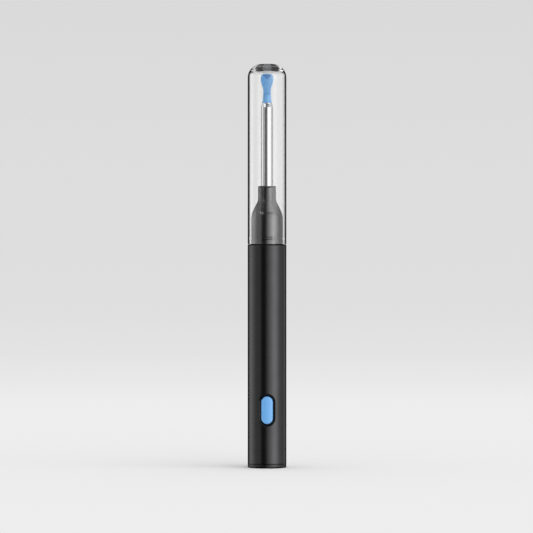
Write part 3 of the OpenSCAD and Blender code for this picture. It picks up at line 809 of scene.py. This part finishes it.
def hide_unless(tree, shader, reflected):
    """Shows a surface to reflections only, or hides it from them."""
    path = tree.nodes.new("ShaderNodeLightPath")
    seen = tree.nodes.new("ShaderNodeMath")
    seen.operation = "GREATER_THAN" if reflected else "LESS_THAN"
    seen.inputs[1].default_value = 0.5
    tree.links.new(path.outputs["Glossy Depth"], seen.inputs[0])
    clear = tree.nodes.new("ShaderNodeBsdfTransparent")
    mix = tree.nodes.new("ShaderNodeMixShader")
    tree.links.new(seen.outputs[0], mix.inputs[0])
    tree.links.new(clear.outputs[0], mix.inputs[1])
    tree.links.new(shader, mix.inputs[2])
    output = next(n for n in tree.nodes if n.type == "OUTPUT_MATERIAL")
    tree.links.new(mix.outputs[0], output.inputs["Surface"])


def lay_floor():
    """A disc whose pale grey changes slowly with the distance from its middle: a painted pool of light,
    brighter near the middle and darker towards the edge.
    """
    radii = (0.0, 0.05, 0.15, 0.3, 0.5, 0.8, 1.1, FLOOR_R)
    floor = lathe("floor", [(r / MM, 0) for r in radii], n=96, closed=False, sharp=None)
    mat, tree, bsdf = nodes_of("floor_paper_painted_light")
    length = tree.nodes.new("ShaderNodeVectorMath")
    length.operation = "LENGTH"
    tree.links.new(place(tree), length.inputs[0])
    # painted light: the floor's grey is brighter near its middle and darker towards its edge
    painted_light_greys = [(0.0, 0.80), (0.22, 0.805), (0.37, 0.80), (0.58, 0.765), (0.86, 0.74), (1.0, 0.725)]
    colour = ramp(tree, share(tree, length.outputs["Value"], FLOOR_R), painted_light_greys)
    tree.links.new(colour, bsdf.inputs["Base Color"])
    set_inputs(bsdf, {"Roughness": 1.0, "Specular IOR Level": 0.0})
    hide_unless(tree, bsdf.outputs[0], False)
    floor.data.materials.append(mat)
    only_seen_by(floor, "camera", "diffuse", "transmission", "shadow")


def raise_wall():
    """The paper sweep rising behind, seen by the camera and through clear pieces only. Its lit grey is
    painted light: it glows, a little darker higher up.
    """
    profile = [(FLOOR_R + BEND_R * math.sin(math.radians(a)), BEND_R * (1 - math.cos(math.radians(a))))
               for a in range(0, 91, 10)]
    profile += [(FLOOR_R + BEND_R, 0.6), (FLOOR_R + BEND_R, WALL_H)]
    wall = lathe("wall", [(r / MM, h / MM) for r, h in profile], n=96, closed=False, sharp=None)
    mat, tree, glow = emission("wall_paper_painted_glow", (1, 1, 1))
    split = tree.nodes.new("ShaderNodeSeparateXYZ")
    tree.links.new(place(tree), split.inputs[0])
    # painted light: the wall glows in a grey that falls slowly with height
    painted_light_greys = [(0.0, 0.768), (0.06, 0.745), (0.17, 0.730), (0.4, 0.725), (0.58, 0.712), (0.7, 0.701),
             (1.0, 0.68)]
    colour = ramp(tree, share(tree, split.outputs["Z"], WALL_FADE_H), painted_light_greys)
    tree.links.new(colour, glow.inputs["Color"])
    wall.data.materials.append(mat)
    only_seen_by(wall, "camera", "transmission")


def pattern_at(pattern, angle):
    for (a0, v0), (a1, v1) in zip(pattern, pattern[1:]):
        if a0 <= angle <= a1:
            return v0 + (v1 - v0) * (angle - a0) / (a1 - a0)
    return 0.0


def pitch_tent():
    """A tall drum of soft light that only reflections see."""
    verts, faces, values = [], [], []
    for angle in range(-180, 181):
        for h, level, above in TENT_ROWS:
            verts.append(facing(angle, TENT_R, h))
            values.append(level * pattern_at(LEVEL, angle) + above * pattern_at(ABOVE, angle))
    rows = len(TENT_ROWS)
    for i in range(360):
        for j in range(rows - 1):
            k = i * rows + j
            faces.append((k, k + rows, k + rows + 1, k + 1))
    mesh = bpy.data.meshes.new("light_tent")
    mesh.from_pydata(verts, [], faces)
    shade = mesh.attributes.new("glow", "FLOAT", "POINT")
    shade.data.foreach_set("value", values)
    tent = bpy.data.objects.new("light_tent", mesh)
    scene.collection.objects.link(tent)
    mat, tree, glow = emission("tent_light", (1, 1, 1))
    attribute = tree.nodes.new("ShaderNodeAttribute")
    attribute.attribute_name = "glow"
    tree.links.new(attribute.outputs["Fac"], glow.inputs["Strength"])
    hide_unless(tree, glow.outputs[0], True)
    mesh.materials.append(mat)
    only_seen_by(tent, "glossy", "transmission")


def hang_flag(number, start, end):
    """A black flag that draws an edge of the clear cap. Only what is seen through the cap sees it."""
    steps = 8
    verts = [facing(start + (end - start) * k / steps, FLAG_R, h) for k in range(steps + 1) for h in FLAG_Z]
    mesh = bpy.data.meshes.new("black_flag")
    mesh.from_pydata(verts, [], [(2 * k, 2 * k + 2, 2 * k + 3, 2 * k + 1) for k in range(steps)])
    flag = bpy.data.objects.new("black_flag_%d" % number, mesh)
    scene.collection.objects.link(flag)
    mat, tree, glow = emission("flag_black_%d" % number, (0.03, 0.03, 0.03))
    hide_unless(tree, glow.outputs[0], False)
    mesh.materials.append(mat)
    only_seen_by(flag, "transmission")


def light_room():
    """An even pale room and a very soft key light from the upper right of the camera."""
    world = bpy.data.worlds.new("studio")
    scene.world = world
    world.use_nodes = True
    set_inputs(world.node_tree.nodes["Background"], {"Color": (1, 1, 1, 1), "Strength": 0.822})
    key = bpy.data.lights.new("key", "SUN")
    key.energy = 1.2
    key.angle = math.radians(70)
    elevation = math.radians(38)
    spot = Vector(facing(48, math.cos(elevation), math.sin(elevation)))
    lamp = bpy.data.objects.new("key", key)
    lamp.location = spot
    lamp.rotation_mode = "QUATERNION"
    lamp.rotation_quaternion = spot.to_track_quat("Z", "Y")
    lamp.visible_glossy = False
    lamp.visible_transmission = False
    scene.collection.objects.link(lamp)


def place_camera():
    """Level, at mid-height and far away, for a flat view."""
    aside, distance, mid_height = -0.000185, 1.011, 0.0675
    data = bpy.data.cameras.new("camera")
    data.lens = 203.2
    data.sensor_width = 36.0
    data.clip_start = 0.05
    data.clip_end = 20.0
    camera = bpy.data.objects.new("camera", data)
    camera.location = (aside, -distance, mid_height)
    camera.rotation_euler = (math.pi / 2, 0, 0)
    scene.collection.objects.link(camera)
    scene.camera = camera


lay_floor()
raise_wall()
pitch_tent()
for number, (start, end) in enumerate(FLAGS, 1):
    hang_flag(number, start, end)
light_room()
place_camera()

scene.view_settings.view_transform = "Standard"
scene.view_settings.look = "None"
scene.view_settings.exposure = 0.0
scene.view_settings.gamma = 1.0
